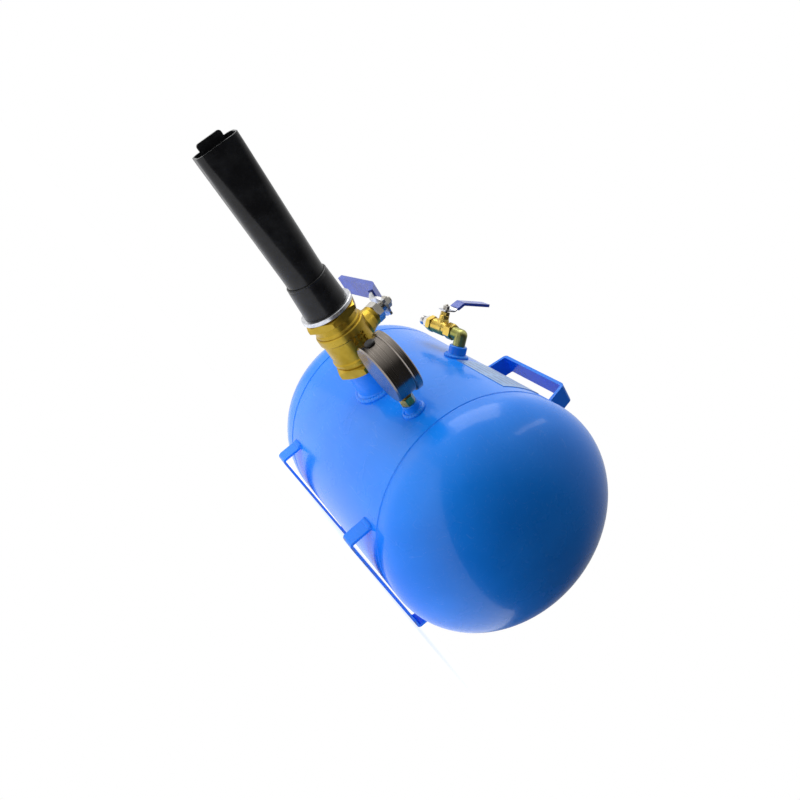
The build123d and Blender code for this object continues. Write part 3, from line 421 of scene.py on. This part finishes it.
def straight_bead(mesh, start, direction, length, radius, pitch, seed):
    """Rounded weld run along a straight joint, closed at both ends."""
    direction = Vector(direction).normalized()
    side = direction.cross(Vector((0, 0, 1)))
    if side.length < 0.1:
        side = Vector((1, 0, 0))
    side.normalize()
    upward = direction.cross(side)
    steps = 90
    sections = []
    for i in range(steps + 1):
        place = length * i / steps
        end = min(place, length - place) / (radius * 0.8)
        taper = math.sqrt(max(0.02, 1 - max(0.0, 1 - end) ** 2))
        lift = ripple(place, pitch, seed)
        size = radius * taper * (0.86 + 0.12 * lift)
        centre = Vector(start) + direction * place
        sections.append(
            [
                centre
                + side * (size * math.cos(2 * math.pi * j / 16))
                + upward * (size * math.sin(2 * math.pi * j / 16))
                for j in range(16)
            ]
        )
    rings(mesh, sections, False)


# ---------------------------------------------------------------- welds
def middle_of(name):
    """Middle of a CAD node's box."""
    low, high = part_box(name)
    return (Vector(low) + Vector(high)) / 2


stub_low, stub_high = (Vector(corner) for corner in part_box("outlet_stub"))
stub_radius = (stub_high.y - stub_low.y) / 2
gauge_low, gauge_high = (Vector(corner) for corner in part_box("gauge_bung"))
gauge_middle = middle_of("gauge_bung").y
small_radius = (gauge_high.y - gauge_low.y) / 2
fill_out = Vector((-1, 0, 1)).normalized()
fill_pipe = 10.4 * MM

saddle_bead("outlet_weld_bead", (-1, 0, 0), 0.0, stub_radius, 5.2 * MM, 3.4 * MM, 1.0)
saddle_bead("gauge_weld_bead", (-1, 0, 0), gauge_middle, small_radius, 4.0 * MM, 2.8 * MM, 2.0)
saddle_bead("fill_weld_bead", fill_out, 0.0, fill_pipe, 4.0 * MM, 2.8 * MM, 3.0)

leg_middle = 1.5 * MM
run_radius = 3.9 * MM
run_pitch = 2.4 * MM
foot_overrun = 0.4 * MM
foot_mesh = bmesh.new()
seed = 0.0
for foot in ("front_foot", "rear_foot"):
    low, high = (Vector(corner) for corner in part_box(foot))
    leg = high.x - leg_middle
    contact = axis_height - math.sqrt(shell_radius**2 - leg**2)
    for side in (-1, 1):
        seed += 1.0
        straight_bead(
            foot_mesh,
            (side * leg, low.y - foot_overrun, contact),
            (0, 1, 0),
            high.y - low.y + 2 * foot_overrun,
            run_radius,
            run_pitch,
            seed,
        )
foot_beads = piece("foot_weld_beads", foot_mesh, "vessel_paint", "vessel")
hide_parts("foot_welds")

handle_low, handle_high = (Vector(corner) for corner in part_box("carry_handle"))
weld_low, weld_high = (Vector(corner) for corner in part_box("handle_welds"))
bead_inset = 3.6 * MM
handle_overrun = 0.3 * MM
handle_mesh = bmesh.new()
for place in (weld_low.y + bead_inset, weld_high.y - bead_inset):
    seed += 1.0
    straight_bead(
        handle_mesh,
        (handle_low.x - handle_overrun, place, axis_height + shell_radius),
        (1, 0, 0),
        handle_high.x - handle_low.x + 2 * handle_overrun,
        run_radius,
        run_pitch,
        seed,
    )
handle_beads = piece("handle_weld_beads", handle_mesh, "vessel_paint", "vessel")
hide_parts("handle_welds")

# the ring of weld where the barrel tube enters its sleeve
sleeve_low = Vector(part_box("barrel_sleeve")[0])
tube_low, tube_high = (Vector(corner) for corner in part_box("barrel_tube"))
tube_radius = (tube_high.y - tube_low.y) / 2
ring_bead_radius = 1.35 * MM
barrel_axis = Vector((1, 0, 0))
barrel_mesh = bmesh.new()
sections = []
for i in range(180):
    turned = 2 * math.pi * i / 180
    radial = Vector((0, math.cos(turned), math.sin(turned)))
    size = ring_bead_radius * (0.85 + 0.25 * ripple(turned * tube_radius, run_pitch, 5.0))
    centre = Vector((sleeve_low.x + 0.2 * MM, 0, axis_height)) + radial * (tube_radius + 0.5 * MM)
    section = []
    for j in range(10):
        angle = 2 * math.pi * j / 10
        section.append(centre + radial * (size * math.cos(angle)) + barrel_axis * (size * math.sin(angle)))
    sections.append(section)
rings(barrel_mesh, sections, True)
piece("barrel_weld_bead", barrel_mesh, "barrel_black", "vessel")


# ---------------------------------------------------------------- screw threads
def thread(name, base, outward, across, radius, length, pitch, slot_name, body):
    """Raised helical thread on a stud."""
    side, round_, out = axes_of(outward, across)
    turns = length / pitch
    per_turn = 40
    steps = int(turns * per_turn)
    sections = []
    for i in range(steps + 1):
        turned = 2 * math.pi * i / per_turn
        radial = side * math.cos(turned) + round_ * math.sin(turned)
        height = pitch * i / per_turn
        fade = min(1.0, i / 12, (steps - i) / 12)
        crest = radius + 0.45 * pitch * max(0.05, fade)
        centre = Vector(base) + out * height
        root = centre + radial * (radius - 0.15 * pitch)
        sections.append([root - out * (0.42 * pitch), centre + radial * crest, root + out * (0.42 * pitch)])
    mesh = bmesh.new()
    rings(mesh, sections, False)
    return piece(name, mesh, slot_name, body)


main_joint = joints["main_lever_turn"]
main_axis = Vector(main_joint["axis"]).normalized()
main_foot = Vector(main_joint["pos_m"])
main_nut_top = 64.7 * MM
thread(
    "main_stud_thread",
    main_foot + main_axis * main_nut_top,
    main_axis,
    across=(1, 0, 0),
    radius=3.95 * MM,
    length=2.2 * MM,
    pitch=0.9 * MM,
    slot_name="stem_steel",
    body="main_lever",
)
small_joint = joints["fill_lever_turn"]
small_axis = Vector(small_joint["axis"]).normalized()
small_foot = Vector(small_joint["pos_m"])
small_nut_top = 26.9 * MM
thread(
    "small_stud_thread",
    small_foot + small_axis * small_nut_top,
    small_axis,
    across=(0, 1, 0),
    radius=1.65 * MM,
    length=0.9 * MM,
    pitch=0.45 * MM,
    slot_name="stem_steel",
    body="fill_lever_body",
)


# ---------------------------------------------------------------- cast marks on the main valve
def cast_mark(mesh, outline, radius, low, high, middle, lean):
    """Raised outline wrapped on the valve's round body. Outline points are (along, round) in mm."""
    def at(along, around, height):
        turned = lean + around * MM / radius
        distance = radius + height
        sideways = -distance * math.cos(turned)
        return Vector((middle - along * MM, sideways, axis_height + distance * math.sin(turned)))

    lower = [mesh.verts.new(at(x, y, low)) for x, y in outline]
    upper = [mesh.verts.new(at(x, y, high)) for x, y in outline]
    mesh.faces.new(list(reversed(lower)))
    mesh.faces.new(upper)
    for i in range(len(outline)):
        j = (i + 1) % len(outline)
        mesh.faces.new((lower[i], lower[j], upper[j], upper[i]))


def bar(x, y, length, width, turned=0.0):
    """Outline of a short bar with cut corners."""
    half, side = length / 2, width / 2
    cut = side * 0.5
    points = (
        (-half + cut, -side), (half - cut, -side), (half, -side + cut), (half, side - cut),
        (half - cut, side), (-half + cut, side), (-half, side - cut), (-half, -side + cut),
    )
    c, s = math.cos(turned), math.sin(turned)
    return [(x + px * c - py * s, y + px * s + py * c) for px, py in points]


body_radius = 27.0 * MM
mark_middle = main_foot.x - 4.0 * MM
mark_lean = 0.25
mark_root = -0.5 * MM
mark_columns, column_pitch = 4, 5.0
mark_rows, row_pitch = 3, 6.0
mark_mesh = bmesh.new()
marks = random.Random(7)
for row in range(mark_rows):
    for column in range(mark_columns):
        x = column_pitch * (column - (mark_columns - 1) / 2)
        y = row_pitch * (row - (mark_rows - 1) / 2)
        first = bar(x, y, 4.0, 1.3, marks.choice((0.0, 1.57, 0.7)))
        cast_mark(mark_mesh, first, body_radius, mark_root, 1.0 * MM, mark_middle, mark_lean)
        if marks.random() < 0.75:
            second = bar(x + 1.4, y + 1.6, 2.6, 1.1, marks.choice((0.0, 1.57)))
            cast_mark(mark_mesh, second, body_radius, mark_root, 0.9 * MM, mark_middle, mark_lean)
piece("valve_cast_marks", mark_mesh, "valve_brass", "vessel", False)

# ---------------------------------------------------------------- printed scale of the gauge
dial_low, dial_high = (Vector(corner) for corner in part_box("gauge_dial"))
dial_middle = (dial_low + dial_high) / 2
dial_face = dial_high.z
dial_radius = (dial_high.x - dial_low.x) / 2
needle_low, needle_high = (Vector(corner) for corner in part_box("gauge_needle"))
needle_joint = joints["gauge_needle_turn"]
needle_reach = Vector(((needle_low.x + needle_high.x) / 2, (needle_low.y + needle_high.y) / 2, 0)) - Vector(
    (needle_joint["pos_m"][0], needle_joint["pos_m"][1], 0)
)
zero_angle = math.atan2(needle_reach.y, needle_reach.x)
print_depth = 0.12 * MM
print_root = -0.05 * MM
line_half = 0.25 * MM
scale_sweep = math.radians(270)


def on_dial(radius, share, height):
    """Point on the dial at a share of the scale, from zero at 0 to full scale at 1."""
    angle = zero_angle - scale_sweep * share
    x = dial_middle.x + radius * math.cos(angle)
    y = dial_middle.y + radius * math.sin(angle)
    return Vector((x, y, dial_face + height))


scale_mesh = bmesh.new()
for i in range(51):
    share = i / 50
    long_tick = i % 5 == 0
    inner = dial_radius * (0.80 if long_tick else 0.86)
    outer = dial_radius * 0.93
    width = (0.42 if long_tick else 0.22) * MM
    angle = zero_angle - scale_sweep * share
    sideways = Vector((-math.sin(angle), math.cos(angle), 0)) * width
    corners = []
    for height in (print_root, print_depth):
        a, b = on_dial(inner, share, height), on_dial(outer, share, height)
        corners.append([a - sideways, b - sideways * 0.8, b + sideways * 0.8, a + sideways])
    rings(scale_mesh, corners, False)
for radius in (0.935, 0.60):
    sections = []
    for i in range(217):
        share = i / 216
        sections.append(
            [
                on_dial(dial_radius * radius - line_half, share, print_root),
                on_dial(dial_radius * radius + line_half, share, print_root),
                on_dial(dial_radius * radius + line_half, share, print_depth),
                on_dial(dial_radius * radius - line_half, share, print_depth),
            ]
        )
    rings(scale_mesh, sections, False)
piece("dial_scale", scale_mesh, "needle_black", "vessel", False)

for i, text in enumerate(("0", "40", "80", "120", "160", "200")):
    curve = bpy.data.curves.new("numeral", "FONT")
    curve.body = text
    curve.size = 5.2 * MM
    curve.align_x = "CENTER"
    curve.align_y = "CENTER"
    curve.extrude = 0.1 * MM
    typed = bpy.data.objects.new("numeral", curve)
    scene.collection.objects.link(typed)
    bpy.context.view_layer.update()
    solid = bpy.data.meshes.new_from_object(typed)
    bpy.data.objects.remove(typed)
    place = on_dial(dial_radius * 0.70, i / 5, 0.08 * MM)
    solid.transform(Matrix.Translation(place) @ Matrix.Rotation(math.radians(90), 4, "Z"))
    mesh = bmesh.new()
    mesh.from_mesh(solid)
    bmesh.ops.remove_doubles(mesh, verts=mesh.verts, dist=1e-6)
    piece(f"dial_numeral_{text}", mesh, "needle_black", "vessel", False)

# ---------------------------------------------------------------- floor and light
# The floor is a small white sheet that glows a little, so it meets the white backdrop unseen.
floor_finish = Nodes("floor_finish", Roughness=1.0, Specular_IOR_Level=0.0, Emission_Strength=0.8)
floor_dark, floor_light = (0.54, 0.54, 0.545), (0.56, 0.56, 0.56)
floor_finish.colour(floor_finish.ramp(floor_finish.noise(3.0), (0.3, floor_dark), (0.7, floor_light)))
floor_side = 0.6
floor_front, floor_back = -0.31, 0.42
floor_corners = [
    (-floor_side, floor_front, 0),
    (floor_side, floor_front, 0),
    (floor_side, floor_back, 0),
    (-floor_side, floor_back, 0),
]
floor_data = bpy.data.meshes.new("floor")
floor_data.from_pydata(floor_corners, [], [(0, 1, 2, 3)])
floor = bpy.data.objects.new("floor", floor_data)
floor_data.materials.append(floor_finish.material)
scene.collection.objects.link(floor)

# The studio grows brighter towards one side, and the camera itself sees plain white.
bright_side = (-0.45, 0.70, 0.55)
facing_range = (-0.35, 0.75)
studio_range = (0.05, 1.2)
world = bpy.data.worlds.new("world")
scene.world = world
world.use_nodes = True
tree = world.node_tree
tree.nodes.clear()
output = tree.nodes.new("ShaderNodeOutputWorld")
studio = tree.nodes.new("ShaderNodeBackground")
paper = tree.nodes.new("ShaderNodeBackground")
paper.inputs["Strength"].default_value = 1.0
paper.inputs["Color"].default_value = (1, 1, 1, 1)
coordinates = tree.nodes.new("ShaderNodeTexCoord")
facing = tree.nodes.new("ShaderNodeVectorMath")
facing.operation = "DOT_PRODUCT"
facing.inputs[1].default_value = bright_side
tree.links.new(coordinates.outputs["Generated"], facing.inputs[0])
spread = tree.nodes.new("ShaderNodeMapRange")
for key, number in zip((1, 2, 3, 4), (*facing_range, *studio_range)):
    spread.inputs[key].default_value = number
tree.links.new(facing.outputs["Value"], spread.inputs[0])
tree.links.new(spread.outputs[0], studio.inputs["Strength"])
rays = tree.nodes.new("ShaderNodeLightPath")
choice = tree.nodes.new("ShaderNodeMixShader")
tree.links.new(rays.outputs["Is Camera Ray"], choice.inputs[0])
tree.links.new(studio.outputs[0], choice.inputs[1])
tree.links.new(paper.outputs[0], choice.inputs[2])
tree.links.new(choice.outputs[0], output.inputs["Surface"])


def softbox(name, direction, distance, width, height, power):
    """Soft rectangular lamp aimed at the vessel."""
    data = bpy.data.lights.new(name, "AREA")
    data.shape = "RECTANGLE"
    data.size, data.size_y, data.energy = width, height, power
    lamp = bpy.data.objects.new(name, data)
    out = Vector(direction).normalized()
    lamp.location = vessel_middle + out * distance
    lamp.rotation_mode = "QUATERNION"
    lamp.rotation_quaternion = (-out).to_track_quat("-Z", "Y")
    scene.collection.objects.link(lamp)


softbox("key", (-0.80, 0.42, 0.62), distance=1.7, width=1.1, height=1.1, power=11.0)
softbox("dome_strip", (-0.35, -0.35, 0.95), distance=1.5, width=0.12, height=0.9, power=0.8)
